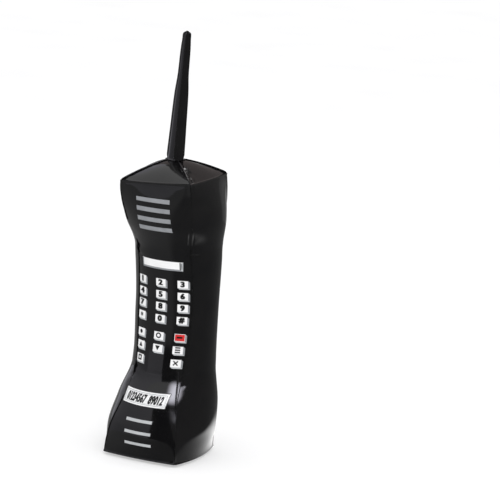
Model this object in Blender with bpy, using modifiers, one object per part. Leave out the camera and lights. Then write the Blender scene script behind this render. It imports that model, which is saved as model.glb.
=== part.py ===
"""Inflatable toy cell phone: a brick-shaped handset welded from sheets of glossy PVC film.

Metres, +Z up, front towards -Y. The origin is on the floor, under the middle of the base.
Run it with: blender --background --python part.py
"""
import math

import bmesh
import bpy
import numpy as np
from mathutils import Matrix, Vector

MM = 0.001
OBJECT_NAME = "inflatable_toy_phone"

# ------------------------------------------------------------------ driving dimensions
FILM = 0.3 * MM           # thickness of the PVC film
GAP = 0.3 * MM            # clearance between neighbouring pieces
FIN = 2.5 * MM            # width of the welded fin outside each body seam
BASE_SEAM = 6.0 * MM      # height of the seam round the base, which bulges down to the floor
BASE_FLAT = 0.6           # share of the base's half width that lies flat on the floor

# Body sections, bottom to top, in millimetres: height above the base seam, half width,
# Y of the front seams, Y of the back seams, and how far the film bulges out between
# the seams at the front, at the sides and at the back.
BODY_SECTIONS = (
    (0, 71, -76, 75, 5, 12, 4),          # base seam
    (45, 66, -68, 80, 18, 29, 10),       # foot
    (95, 54, -47, 96, 18, 35, 14),       # top of the foot
    (150, 47, -16, 97.5, 15.5, 29, 15),  # lower kink
    (255, 53, -6, 86, 17, 23.5, 17),     # middle of the handle
    (365, 52, -21, 88, 18, 27, 17.5),    # upper kink
    (420, 64, -47, 78, 20.5, 25.5, 15),  # bottom of the head
    (460, 68, -63, 75, 13.5, 17, 10),    # head
    (495, 68, -71, 71, 4, 4, 3.5),       # eave seam
)
BODY_TOP = BODY_SECTIONS[-1][0] * MM
ROOF_RISE = 29.5 * MM     # from the eave seam up to the foot of the antenna
HIP_CROWN = 0.35          # how much a hip seam bows up on its way to the antenna
GORE_CROWN = 0.85         # how much the middle of a roof gore bows up

# The head sags to its front left. These are for the eave seam, and fade to none at SAG_START.
SAG_START = 455 * MM                # above the base seam
EAVE_SAG = -1.5 * MM
EAVE_SLOPE_ACROSS = 4.5 / 68        # rise per length towards +X
EAVE_SLOPE_BACK = 1.5 / 71          # rise per length towards +Y

# Antenna sections, in millimetres: height above its foot, and radius out to its four seams.
ANTENNA_SECTIONS = ((0, 14.2), (60, 12.4), (116, 10.6), (152, 7.8), (190, 7.0), (219, 4.6), (226, 1.2))
ANTENNA_ROWS = (0, 20, 40, 60, 80, 100, 116, 128, 140, 152, 171, 190, 205, 219, 223, 226)
ANTENNA_TWIST = math.radians(15)   # the front seam sits this far round towards +X
ANTENNA_LEAN = 9.7 * MM            # the tip leans this far towards +X
ANTENNA_BULGE = 0.16               # bulge of a facet, as a share of half its width
ANTENNA_FIN = 2.0 * MM
ANTENNA_FOOT_FIN = 3.0 * MM
ANTENNA_GORES = ("antenna_front_right_gore", "antenna_back_right_gore",
                 "antenna_back_left_gore", "antenna_front_left_gore")

# Inflation valve, on the back of the handle. Its axis is +Y, out of the body.
VALVE_HEIGHT = 275 * MM
VALVE_HOLE = 6.6 * MM              # radius of the hole in the back film
FLANGE_RADIUS = 12.5 * MM
FLANGE_THICK = 1.0 * MM
FLANGE_SEAT = 2 * GAP              # its height over the film, which curves a little below it
FLANGE_CHAMFER = 0.4 * MM
STEM_RADIUS = 5.0 * MM
STEM_BORE = 3.6 * MM
STEM_TRAVEL = 12.0 * MM            # how far the stem pulls out before its inner collar stops it
COLLAR_RADIUS = 6.2 * MM
COLLAR_THICK = 1.0 * MM
PLUG_CAP_RADIUS = 5.6 * MM
PLUG_CAP_THICK = 1.2 * MM
PLUG_DEPTH = 4.5 * MM
PLUG_ROOT_RADIUS = 3.2 * MM
PLUG_TIP_RADIUS = 2.0 * MM
STRAP_WIDTH = 3.0 * MM
STRAP_THICK = 0.8 * MM
STRAP_REACH = 8.0 * MM             # from the stem's axis to the strap's hinge line
FLAP_RADIUS = 4.4 * MM
FLAP_THICK = 0.6 * MM

# Mesh resolution
ROUND_SEGMENTS = 32
COLUMNS = np.sin(np.linspace(-math.pi / 2, math.pi / 2, 11))   # closer together near a seam
ANTENNA_COLUMNS = np.linspace(-1, 1, 5)
ROOF_ROWS = np.linspace(0, 1, 6)
BODY_ROWS = np.linspace(0, BODY_SECTIONS[-1][0], 27) * MM

EAVE_HEIGHT = BASE_SEAM + BODY_TOP
APEX_HEIGHT = EAVE_HEIGHT + ROOF_RISE
SEAM_INSET = FILM + GAP / 2        # from a seam to the outer face of a film beside it


# ------------------------------------------------------------------ curves and sections
def smooth_curve(knots, values):
    """A monotone cubic through the knots: it never overshoots them."""
    knots = np.asarray(knots, float)
    values = np.asarray(values, float)
    step = np.diff(knots)
    slope = np.diff(values) / step
    tangent = np.zeros(len(knots))
    tangent[0] = slope[0]
    tangent[-1] = slope[-1]
    for i in range(1, len(knots) - 1):
        if slope[i - 1] * slope[i] > 0:
            near = 2 * step[i] + step[i - 1]
            far = step[i] + 2 * step[i - 1]
            tangent[i] = (near + far) / (near / slope[i - 1] + far / slope[i])

    def curve(x):
        i = min(max(int(np.searchsorted(knots, x)) - 1, 0), len(step) - 1)
        u = (x - knots[i]) / step[i]
        return ((2 * u**3 - 3 * u**2 + 1) * values[i] + (u**3 - 2 * u**2 + u) * step[i] * tangent[i]
                + (3 * u**2 - 2 * u**3) * values[i + 1] + (u**3 - u**2) * step[i] * tangent[i + 1])

    return curve


section_table = np.array(BODY_SECTIONS, float) * MM
half_width, front_seam, back_seam, front_bulge, side_bulge, back_bulge = (
    smooth_curve(section_table[:, 0], section_table[:, column]) for column in range(1, 7))
antenna_table = np.array(ANTENNA_SECTIONS, float) * MM
antenna_radius = smooth_curve(antenna_table[:, 0], antenna_table[:, 1])


def bulged_edge(start, end, bulge, t):
    """A point on the arc from start to end, t from -1 to 1, that bulges to the right of the way."""
    start = np.asarray(start, float)
    end = np.asarray(end, float)
    half = np.linalg.norm(end - start) / 2
    along = (end - start) / (2 * half)
    outward = np.array([along[1], -along[0]])
    radius = (half**2 + bulge**2) / (2 * bulge)
    angle = math.asin(min(half / radius, 1.0)) * t
    rise = radius * math.cos(angle) - (radius - bulge)
    return (start + end) / 2 + along * radius * math.sin(angle) + outward * rise


def body_edge(side, height, t):
    """A point of the body's outline at a height above the base seam, as X and Y."""
    width = half_width(height)
    front = front_seam(height)
    back = back_seam(height)
    corners = {"front": ((-width, front), (width, front)), "right": ((width, front), (width, back)),
               "back": ((width, back), (-width, back)), "left": ((-width, back), (-width, front))}
    bulge = {"front": front_bulge, "right": side_bulge, "back": back_bulge, "left": side_bulge}
    start, end = corners[side]
    return bulged_edge(start, end, bulge[side](height), t)


def antenna_centre(height):
    return np.array([ANTENNA_LEAN * height / (ANTENNA_SECTIONS[-1][0] * MM), 0.0])


def antenna_corner(seam, height):
    """Seam 0 is the front one, and they are counted towards +X."""
    angle = ANTENNA_TWIST + math.radians(90 * seam - 90)
    return antenna_centre(height) + antenna_radius(height) * np.array([math.cos(angle), math.sin(angle)])


def antenna_edge(gore, height, t):
    start = antenna_corner(gore, height)
    end = antenna_corner(gore + 1, height)
    return bulged_edge(start, end, ANTENNA_BULGE * np.linalg.norm(end - start) / 2, t)


def antenna_foot_at(angle):
    """The point of the antenna's foot outline that lies in this direction from its axis."""
    turn = (angle - ANTENNA_TWIST + math.pi / 2) / (math.pi / 2)
    gore = math.floor(turn)
    low, high = -1.0, 1.0
    for _ in range(40):
        t = (low + high) / 2
        point = antenna_edge(gore, 0, t)
        past = (math.atan2(point[1], point[0]) - angle + math.pi) % (2 * math.pi) - math.pi
        low, high = (low, t) if past > 0 else (t, high)
    return antenna_edge(gore, 0, (low + high) / 2)


# ------------------------------------------------------------------ film panels as grids
SIDES = ("front", "right", "back", "left")
SIDE_ANGLE = {"front": -90, "right": 0, "back": 90, "left": 180}


def head_sag(point, height):
    """How far a point of the body is lifted, because the head sags to its front left."""
    share = min(max((height - SAG_START) / (BODY_TOP - SAG_START), 0), 1)
    full = EAVE_SAG + EAVE_SLOPE_ACROSS * point[0] + EAVE_SLOPE_BACK * point[1]
    return share**2 * (3 - 2 * share) * full


def body_grid(side):
    rows = []
    for height in BODY_ROWS:
        flat = [body_edge(side, height, t) for t in COLUMNS]
        rows.append([(*point, BASE_SEAM + height + head_sag(point, height)) for point in flat])
    return np.array(rows)


def roof_grid(side):
    """From the eave seam in to the antenna's foot. A loft between an arc and a bent outline."""
    rows = []
    for s in ROOF_ROWS:
        row = []
        for t in COLUMNS:
            eave = body_edge(side, BODY_TOP, t)
            foot = antenna_foot_at(math.radians(SIDE_ANGLE[side] + 45 * t))
            crown = HIP_CROWN + (GORE_CROWN - HIP_CROWN) * (1 - t**2)
            rise = ROOF_RISE * s * (1 + crown * (1 - s)) + head_sag(eave, BODY_TOP) * (1 - s)
            row.append((*(eave + (foot - eave) * s), EAVE_HEIGHT + rise))
        rows.append(row)
    return np.array(rows)


def base_grid():
    """The underside: flat in the middle, and curling up to the base seam all round."""
    rows = []
    for v in COLUMNS:
        row = []
        for u in COLUMNS:
            across = (u + 1) / 2
            back_share = (v + 1) / 2
            between_ends = (body_edge("front", 0, u) * (1 - back_share)
                            + body_edge("back", 0, -u) * back_share)
            between_sides = body_edge("left", 0, -v) * (1 - across) + body_edge("right", 0, v) * across
            corners = ((body_edge("front", 0, -1) * (1 - across) + body_edge("front", 0, 1) * across)
                       * (1 - back_share)
                       + (body_edge("back", 0, 1) * (1 - across) + body_edge("back", 0, -1) * across)
                       * back_share)
            curl = max(max(abs(u), abs(v)) - BASE_FLAT, 0) / (1 - BASE_FLAT)
            row.append((*(between_ends + between_sides - corners), BASE_SEAM * curl**2))
        rows.append(row)
    return np.array(rows)


def antenna_grid(gore):
    return np.array([[(*antenna_edge(gore, row * MM, t), APEX_HEIGHT + 2 * GAP + row * MM)
                      for t in ANTENNA_COLUMNS] for row in ANTENNA_ROWS])


# ------------------------------------------------------------------ seams between panels
# An edge of a grid: its own row or column, and the next one in.
EDGES = {"bottom": lambda g: (g[0], g[1]), "top": lambda g: (g[-1], g[-2]),
         "start": lambda g: (g[:, 0], g[:, 1]), "end": lambda g: (g[:, -1], g[:, -2])}


def unit(vectors):
    return vectors / np.maximum(np.linalg.norm(vectors, axis=-1, keepdims=True), 1e-12)


def outward_normals(edge, inner, centre):
    """Unit normals of a panel along one of its edges, pointing away from centre."""
    normals = unit(np.cross(unit(inner - edge), np.gradient(edge, axis=0)))
    away = np.sum(normals * (edge - centre), axis=1, keepdims=True)
    return normals * np.where(away < 0, -1.0, 1.0)


def weld(panels, fins, first, second, width, centre):
    """Gives both panels of a seam a fin: the two films turn outwards there, face to face."""
    ends = []
    for name, side in (first, second):
        edge, inner = EDGES[side](panels[name])
        ends.append([name, side, edge, inner, False])
    if np.linalg.norm(ends[0][2][0] - ends[1][2][0]) > np.linalg.norm(ends[0][2][0] - ends[1][2][-1]):
        ends[1][2:] = [ends[1][2][::-1], ends[1][3][::-1], True]
    normals = [outward_normals(edge, inner, centre) for _, _, edge, inner, _ in ends]
    outward = unit(normals[0] + normals[1])
    for name, side, edge, inner, flipped in ends:
        aside = unit(np.cross(np.gradient(edge, axis=0), outward))
        aside *= np.sign(np.sum(aside * (inner - edge), axis=1, keepdims=True))
        fins[name][side] = ((outward * width)[::-1], aside[::-1]) if flipped else (outward * width, aside)


def build_seams(panels):
    """The welded seams: body corners, eaves, base, hips and antenna."""
    fins = {name: {} for name in panels}
    body_centre = np.array([0.0, 0.02, 0.25])
    for i, side in enumerate(SIDES):
        after = SIDES[(i + 1) % 4]
        weld(panels, fins, (f"{side}_panel", "end"), (f"{after}_panel", "start"), FIN, body_centre)
        weld(panels, fins, (f"{side}_panel", "top"), (f"top_{side}_gore", "bottom"), FIN, body_centre)
        weld(panels, fins, (f"top_{side}_gore", "end"), (f"top_{after}_gore", "start"), FIN, body_centre)
        base_edge = {"front": "bottom", "right": "end", "back": "top", "left": "start"}[side]
        weld(panels, fins, (f"{side}_panel", "bottom"), ("base_panel", base_edge), FIN, body_centre)
    antenna_middle = np.array([ANTENNA_LEAN / 2, 0.0, APEX_HEIGHT + 0.1])
    for gore, name in enumerate(ANTENNA_GORES):
        after = ANTENNA_GORES[(gore + 1) % 4]
        weld(panels, fins, (name, "end"), (after, "start"), ANTENNA_FIN, antenna_middle)
        foot = panels[name][0]
        spread = unit((foot - [0, 0, APEX_HEIGHT + 2 * GAP]) * [1, 1, 0])
        fins[name]["bottom"] = (spread * ANTENNA_FOOT_FIN, np.tile([0.0, 0.0, 0.0], (len(foot), 1)))
    return fins


# ------------------------------------------------------------------ objects
def material(name, colour, roughness, metallic=0.0):
    made = bpy.data.materials.new(name)
    made.use_nodes = True
    shader = made.node_tree.nodes["Principled BSDF"]
    shader.inputs["Base Color"].default_value = (*colour, 1)
    shader.inputs["Roughness"].default_value = roughness
    shader.inputs["Metallic"].default_value = metallic
    return made


def new_object(name, mesh, collection, surface=None):
    made = bpy.data.objects.new(name, mesh)
    collection.objects.link(made)
    if surface:
        mesh.materials.append(surface)
    return made


def film_object(name, grid, edge_fins, outward, collection, surface):
    """One sheet of film: the panel, moved in from its seams, and a fin along each welded edge.

    A fin tapers away before the panel's corners, where several seams meet.
    """
    rows, columns = grid.shape[:2]
    points = grid.copy()
    index = np.arange(rows * columns).reshape(rows, columns)
    edge_index = {"bottom": index[0], "top": index[-1], "start": index[:, 0], "end": index[:, -1]}
    flat = points.reshape(-1, 3)
    for side, (_, aside) in edge_fins.items():
        flat[edge_index[side]] += aside * SEAM_INSET
    vertices = [Vector(point) for point in flat]
    faces = [(index[r, c], index[r, c + 1], index[r + 1, c + 1], index[r + 1, c])
             for r in range(rows - 1) for c in range(columns - 1)]
    for side, (reach, _) in edge_fins.items():
        along = list(edge_index[side])
        tips = [None] + [len(vertices) + i for i in range(len(along) - 2)] + [None]
        vertices += [vertices[along[i]] + Vector(reach[i]) for i in range(1, len(along) - 1)]
        # Triangles, so that the two fins of a seam are split the same way and stay apart.
        faces.append((along[0], along[1], tips[1]))
        for i in range(1, len(along) - 2):
            faces.append((along[i], along[i + 1], tips[i + 1]))
            faces.append((along[i], tips[i + 1], tips[i]))
        faces.append((along[-2], along[-1], tips[-2]))
    mesh = bpy.data.meshes.new(name)
    mesh.from_pydata(vertices, [], [tuple(int(corner) for corner in face) for face in faces])
    shape = bmesh.new()
    shape.from_mesh(mesh)
    bmesh.ops.recalc_face_normals(shape, faces=shape.faces)
    shape.faces.ensure_lookup_table()
    middle = shape.faces[(rows - 1) // 2 * (columns - 1) + (columns - 1) // 2]
    if middle.normal.dot(Vector(outward)) < 0:
        bmesh.ops.reverse_faces(shape, faces=shape.faces)
    shape.to_mesh(mesh)
    shape.free()
    mesh.shade_smooth()
    made = new_object(name, mesh, collection, surface)
    skin = made.modifiers.new("film", "SOLIDIFY")
    skin.thickness = FILM
    skin.offset = -1
    return made


def turned_object(name, profile, collection, surface):
    """A piece turned about Z. The profile, as (radius, z), runs down the outer side.

    A profile that starts and ends on the axis makes a solid, and any other is closed into a ring.
    """
    mesh = bpy.data.meshes.new(name)
    shape = bmesh.new()
    corners = [shape.verts.new((radius, 0, z)) for radius, z in profile]
    sides = len(corners) - 1 if profile[0][0] == 0 else len(corners)
    for i in range(sides):
        shape.edges.new((corners[i], corners[(i + 1) % len(corners)]))
    shape.to_mesh(mesh)
    shape.free()
    made = new_object(name, mesh, collection, surface)
    turn = made.modifiers.new("turn", "SCREW")
    turn.steps = ROUND_SEGMENTS
    turn.render_steps = ROUND_SEGMENTS
    turn.use_merge_vertices = True
    turn.merge_threshold = 0.00001
    return made


def primitive_object(name, fill, collection, surface=None):
    """An object whose mesh the bmesh function fill makes."""
    mesh = bpy.data.meshes.new(name)
    shape = bmesh.new()
    fill(shape)
    shape.to_mesh(mesh)
    shape.free()
    return new_object(name, mesh, collection, surface)


def cylinder_object(name, radius, depth, collection, surface=None):
    def fill(shape):
        bmesh.ops.create_cone(shape, cap_ends=True, segments=ROUND_SEGMENTS, radius1=radius,
                              radius2=radius, depth=depth)
    return primitive_object(name, fill, collection, surface)


def box_object(name, size, collection):
    def fill(shape):
        bmesh.ops.create_cube(shape, size=1, matrix=Matrix.Diagonal((*size, 1)))
    return primitive_object(name, fill, collection)


def empty_object(name, location, parent, collection):
    made = new_object(name, None, collection)
    made.location = location
    made.parent = parent
    return made


def as_tool(made):
    """Marks an object that only cuts, or is only joined to, another one."""
    made.hide_render = True
    made.display_type = "WIRE"


def boolean(target, tool, operation):
    cut = target.modifiers.new(operation.lower(), "BOOLEAN")
    cut.operation = operation
    cut.solver = "EXACT"
    cut.object = tool


# ------------------------------------------------------------------ build


def build_films(parts, black):
    """The welded skin of the phone."""
    panels = {f"{side}_panel": body_grid(side) for side in SIDES}
    panels.update({f"top_{side}_gore": roof_grid(side) for side in SIDES})
    panels["base_panel"] = base_grid()
    panels.update({name: antenna_grid(gore) for gore, name in enumerate(ANTENNA_GORES)})
    outward = {"base_panel": (0, 0, -1)}
    for side, angle in SIDE_ANGLE.items():
        outward[f"{side}_panel"] = Matrix.Rotation(math.radians(angle), 3, "Z") @ Vector((1, 0, 0))
        outward[f"top_{side}_gore"] = (0, 0, 1)
    for gore, name in enumerate(ANTENNA_GORES):
        angle = ANTENNA_TWIST + math.radians(90 * gore - 45)
        outward[name] = Matrix.Rotation(angle, 3, "Z") @ Vector((1, 0, 0))
    fins = build_seams(panels)
    return {name: film_object(name, grid, fins[name], outward[name], parts, black)
            for name, grid in panels.items()}


def build_valve(parts, tools, back_panel, clear):
    """A push-in valve: a welded flange, a sliding stem, a tethered plug and a check flap.

    Everything hangs on one empty whose Z axis is the valve's axis, pointing out of the body
    from the film's outer face, and whose Y axis points down.
    """
    wall = body_edge("back", VALVE_HEIGHT - BASE_SEAM, 0)[1]
    axis = empty_object("valve_axis", (0, wall, VALVE_HEIGHT), None, parts)
    axis.rotation_euler = (-math.pi / 2, 0, 0)

    hole = cylinder_object("valve_hole", VALVE_HOLE, 8 * MM, tools)
    hole.parent = axis
    as_tool(hole)
    boolean(back_panel, hole, "DIFFERENCE")

    flange_top = FLANGE_SEAT + FLANGE_THICK
    guide = STEM_RADIUS + GAP
    flange = turned_object("valve_flange", [
        (guide, flange_top), (FLANGE_RADIUS - FLANGE_CHAMFER, flange_top),
        (FLANGE_RADIUS, flange_top - FLANGE_CHAMFER), (FLANGE_RADIUS, FLANGE_SEAT),
        (guide, FLANGE_SEAT)], parts, clear)
    flange.parent = axis

    stem_top = flange_top + GAP + COLLAR_THICK
    stem_end = FLANGE_SEAT - GAP - STEM_TRAVEL - COLLAR_THICK
    stem = turned_object("valve_stem", [
        (STEM_BORE, stem_top), (COLLAR_RADIUS, stem_top), (COLLAR_RADIUS, stem_top - COLLAR_THICK),
        (STEM_RADIUS, stem_top - COLLAR_THICK), (STEM_RADIUS, stem_end + COLLAR_THICK),
        (COLLAR_RADIUS, stem_end + COLLAR_THICK), (COLLAR_RADIUS, stem_end), (STEM_BORE, stem_end)],
        parts, clear)
    stem.parent = axis
    lug_tip = STRAP_REACH + STRAP_THICK
    lug = box_object("strap_lug", (STRAP_WIDTH + MM, lug_tip - STEM_RADIUS, COLLAR_THICK), tools)
    lug.parent = axis
    lug.location = (0, (lug_tip + STEM_RADIUS) / 2, stem_top - COLLAR_THICK / 2)
    as_tool(lug)
    boolean(stem, lug, "UNION")

    hinge_height = stem_top + GAP + STRAP_THICK / 2
    hinge = empty_object("plug_hinge", (0, STRAP_REACH, hinge_height), axis, parts)
    cap_base = -STRAP_THICK / 2
    cap_top = cap_base + PLUG_CAP_THICK
    tip = cap_base - GAP - PLUG_DEPTH
    plug = turned_object("valve_plug", [
        (0, cap_top), (PLUG_CAP_RADIUS - FLANGE_CHAMFER, cap_top),
        (PLUG_CAP_RADIUS, cap_top - FLANGE_CHAMFER), (PLUG_CAP_RADIUS, cap_base),
        (PLUG_ROOT_RADIUS, cap_base), (PLUG_TIP_RADIUS, tip), (0, tip)], parts, clear)
    plug.parent = hinge
    plug.location = (0, -STRAP_REACH, 0)
    strap_length = STRAP_REACH - PLUG_ROOT_RADIUS
    strap = box_object("plug_strap", (STRAP_WIDTH, strap_length, STRAP_THICK), tools)
    strap.parent = hinge
    strap.location = (0, -strap_length / 2, 0)
    as_tool(strap)
    boolean(plug, strap, "UNION")

    flap_height = stem_end - GAP - FLAP_THICK / 2
    flap_hinge = empty_object("flap_hinge", (0, -FLAP_RADIUS, flap_height), axis, parts)
    flap = cylinder_object("check_flap", FLAP_RADIUS, FLAP_THICK, parts, clear)
    flap.parent = flap_hinge
    flap.location = (0, FLAP_RADIUS, 0)


def main():
    for old in list(bpy.data.objects):
        bpy.data.objects.remove(old, do_unlink=True)
    parts = bpy.data.collections.new(OBJECT_NAME)
    tools = bpy.data.collections.new("tools")
    for collection in (parts, tools):
        bpy.context.scene.collection.children.link(collection)
    black = material("black_film", (0.012, 0.012, 0.014), 0.22)
    clear = material("valve_vinyl", (0.55, 0.56, 0.57), 0.35)
    films = build_films(parts, black)
    build_valve(parts, tools, films["back_panel"], clear)


main()
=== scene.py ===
"""The looks of the inflatable toy phone: welded PVC films, screen printing, studio and camera."""
import math

import bmesh
import bpy
import numpy as np
from mathutils import Matrix, Vector


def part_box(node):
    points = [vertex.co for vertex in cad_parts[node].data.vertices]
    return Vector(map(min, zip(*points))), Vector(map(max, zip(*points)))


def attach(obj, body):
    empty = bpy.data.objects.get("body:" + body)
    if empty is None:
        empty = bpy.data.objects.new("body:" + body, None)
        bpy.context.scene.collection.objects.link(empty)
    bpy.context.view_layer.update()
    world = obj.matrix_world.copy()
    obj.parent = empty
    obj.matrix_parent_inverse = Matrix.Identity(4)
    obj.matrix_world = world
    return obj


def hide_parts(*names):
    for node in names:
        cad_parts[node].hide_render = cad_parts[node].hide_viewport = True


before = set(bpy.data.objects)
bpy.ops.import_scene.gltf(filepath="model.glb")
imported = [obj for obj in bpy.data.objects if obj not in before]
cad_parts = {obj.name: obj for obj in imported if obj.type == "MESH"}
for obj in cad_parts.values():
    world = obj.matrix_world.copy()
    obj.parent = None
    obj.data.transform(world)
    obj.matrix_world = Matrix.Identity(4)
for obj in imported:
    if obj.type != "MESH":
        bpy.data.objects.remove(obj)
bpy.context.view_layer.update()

MM = 0.001
BODY = "body"

# ---------------- sizes, from the frame
BASE_SEAM = 6.0 * MM
EAVE_HEIGHT = BASE_SEAM + 495 * MM
APEX_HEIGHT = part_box("top_front_gore")[1].z

# The body's sections, as the CAD has them, in millimetres: height above the base seam, half
# width, Y of the front and back seams, and the bulge at the front, the sides and the back.
BODY_SECTIONS = (
    (0, 71, -76, 75, 5, 12, 4),
    (45, 66, -68, 80, 18, 29, 10),
    (95, 54, -47, 96, 18, 35, 14),
    (150, 47, -16, 97.5, 15.5, 29, 15),
    (255, 53, -6, 86, 17, 23.5, 17),
    (365, 52, -21, 88, 18, 27, 17.5),
    (420, 64, -47, 78, 20.5, 25.5, 15),
    (460, 68, -63, 75, 13.5, 17, 10),
    (495, 68, -71, 71, 4, 4, 3.5),
)
BODY_TOP = BODY_SECTIONS[-1][0]
SAG_START = 455  # the head sags to its front left from this height up
EAVE_SAG = -1.5 * MM
EAVE_SLOPE_ACROSS = 4.5 / 68
EAVE_SLOPE_BACK = 1.5 / 71
HIP_CROWN = 0.35  # how much a hip seam bows up, and the middle of a roof gore
GORE_CROWN = 0.85
BASE_FLAT = 0.6  # share of the base's half width that lies flat

# The antenna's sections, in millimetres: height above its foot, and radius out to its seams.
ANTENNA_SECTIONS = (
    (0, 14.2), (60, 12.4), (116, 10.6), (152, 7.8), (190, 7.0), (219, 4.6), (226, 1.2))
ANTENNA_TOP = ANTENNA_SECTIONS[-1][0]
ANTENNA_TWIST = math.radians(15)
ANTENNA_LEAN = 9.7 * MM
ANTENNA_BULGE = 0.16

FILM = 0.3 * MM
GAP = 0.3 * MM
SEAM_INSET = FILM + GAP / 2
FIN = 1.3 * MM  # weld fin along a plain stretch of seam
KINK_FIN = 2.2 * MM  # how much wider it is where a seam turns
KINK_REACH = 7  # how far along the seam it is wider, in millimetres
FOLDED_HEIGHT = 124  # where the front right fin lies folded down on the film
FOLDED_REACH = 34
FOLDED_SHARE = 0.75  # how much of its width that takes away
HIP_FIN = 2.5 * MM
HIP_BEAD = 0.8 * MM  # half the thickness of the rolled edge of a weld
HIP_BEAD_FLATNESS = 1.7  # its width over its thickness
HIP_BEAD_PLACE = 0.8  # how far out on the fin it lies
FOOT_BEAD = 0.7 * MM
BEAD_SIDES = 10
BEAD_END = 0.35  # how thin a bead's ends are, as a share
ANTENNA_FIN = 1.9 * MM
TIP_TAB = 1.2 * MM  # how much wider the antenna's fins are at its tip
FOOT_FIN = 3.2 * MM
FIN_TAPER = 30  # a fin reaches its full width in one part in this many of its length

# Heights above the base seam where the handle meets the foot and the head, in millimetres.
LOWER_KINK = 150
UPPER_KINK = 366

ROOF_ROW_COUNT = 23
columns = np.sin(np.linspace(-math.pi / 2, math.pi / 2, 49))
fine_columns = np.linspace(0.80, 0.985, 22)  # for the creases beside the seams
columns = np.unique(np.concatenate([columns, fine_columns, -fine_columns]))
COLUMN_COUNT = len(columns)
body_rows = np.unique(np.concatenate([
    np.linspace(0, BODY_TOP, 166), np.arange(126, 154, 1.0), np.arange(352, 374, 1.0)]))
roof_rows = np.linspace(0, 1, ROOF_ROW_COUNT)
antenna_columns = np.linspace(-1, 1, 13)
antenna_rows = np.concatenate([np.linspace(0, 212, 72), np.linspace(214, ANTENNA_TOP, 8)])


# ---------------- curves and sections
def smooth_curve(knots, values):
    """A monotone cubic through the knots, which works on arrays."""
    knots = np.asarray(knots, float)
    values = np.asarray(values, float)
    step = np.diff(knots)
    slope = np.diff(values) / step
    tangent = np.zeros(len(knots))
    tangent[0] = slope[0]
    tangent[-1] = slope[-1]
    for i in range(1, len(knots) - 1):
        if slope[i - 1] * slope[i] > 0:
            near = 2 * step[i] + step[i - 1]
            far = step[i] + 2 * step[i - 1]
            tangent[i] = (near + far) / (near / slope[i - 1] + far / slope[i])

    def curve(x):
        i = np.clip(np.searchsorted(knots, x) - 1, 0, len(step) - 1)
        u = (np.asarray(x, float) - knots[i]) / step[i]
        return ((2 * u**3 - 3 * u**2 + 1) * values[i] + (u**3 - 2 * u**2 + u) * step[i] * tangent[i]
                + (3 * u**2 - 2 * u**3) * values[i + 1] + (u**3 - u**2) * step[i] * tangent[i + 1])

    return curve


section_table = np.array(BODY_SECTIONS, float)
half_width, front_seam, back_seam, front_bulge, side_bulge, back_bulge = (
    smooth_curve(section_table[:, 0], section_table[:, column]) for column in range(1, 7))
antenna_table = np.array(ANTENNA_SECTIONS, float)
antenna_radius = smooth_curve(antenna_table[:, 0], antenna_table[:, 1])


def bulged_edge(start, end, bulge, t):
    """Points on the arc from start to end, t from -1 to 1, that bulges to the right of the way."""
    start = np.asarray(start, float)
    end = np.asarray(end, float)
    half = np.linalg.norm(end - start) / 2
    along = (end - start) / (2 * half)
    outward = np.array([along[1], -along[0]])
    radius = (half**2 + bulge**2) / (2 * bulge)
    angle = math.asin(min(half / radius, 1.0)) * np.atleast_1d(t)
    rise = radius * np.cos(angle) - (radius - bulge)
    return (start + end) / 2 + radius * np.sin(angle)[:, None] * along + rise[:, None] * outward


def body_edge(side, height, t):
    """Points of the body's outline, in millimetres, at a height above the base seam."""
    width = half_width(height)
    front = front_seam(height)
    back = back_seam(height)
    start, end, bulge = {
        "front": ((-width, front), (width, front), front_bulge),
        "right": ((width, front), (width, back), side_bulge),
        "back": ((width, back), (-width, back), back_bulge),
        "left": ((-width, back), (-width, front), side_bulge),
    }[side]
    return bulged_edge(start, end, float(bulge(height)), t)


def antenna_corner(seam, height):
    angle = ANTENNA_TWIST + math.radians(90 * seam - 90)
    lean = ANTENNA_LEAN / MM * height / ANTENNA_TOP
    way = np.array([math.cos(angle), math.sin(angle)])
    return np.array([lean, 0.0]) + antenna_radius(height) * way


def antenna_edge(gore, height, t):
    start = antenna_corner(gore, height)
    end = antenna_corner(gore + 1, height)
    return bulged_edge(start, end, ANTENNA_BULGE * np.linalg.norm(end - start) / 2, t)


foot_outline = np.concatenate([
    antenna_edge(gore, 0, np.linspace(-1, 1, 60)[:-1]) for gore in range(4)])
foot_angles = np.unwrap(np.arctan2(foot_outline[:, 1], foot_outline[:, 0]))


def antenna_foot_at(angles):
    """Points of the antenna's foot outline in these directions from its axis."""
    turned = (angles - foot_angles[0]) % (2 * math.pi) + foot_angles[0]
    closed_angles = np.append(foot_angles, foot_angles[0] + 2 * math.pi)
    closed = np.vstack([foot_outline, foot_outline[:1]])
    return np.stack([np.interp(turned, closed_angles, closed[:, axis]) for axis in (0, 1)], axis=1)


SIDES = ("front", "right", "back", "left")
SIDE_ANGLE = {"front": -90, "right": 0, "back": 90, "left": 180}


def head_sag(flat, height):
    """How far points of the body are lifted, because the head sags to its front left."""
    share = min(max((height - SAG_START) / (BODY_TOP - SAG_START), 0), 1)
    full = EAVE_SAG + EAVE_SLOPE_ACROSS * flat[:, 0] + EAVE_SLOPE_BACK * flat[:, 1]
    return share**2 * (3 - 2 * share) * full


def body_grid(side):
    rows = []
    for height in body_rows:
        flat = body_edge(side, height, columns) * MM
        rows.append(np.column_stack([flat, BASE_SEAM + height * MM + head_sag(flat, height)]))
    return np.array(rows)


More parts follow.
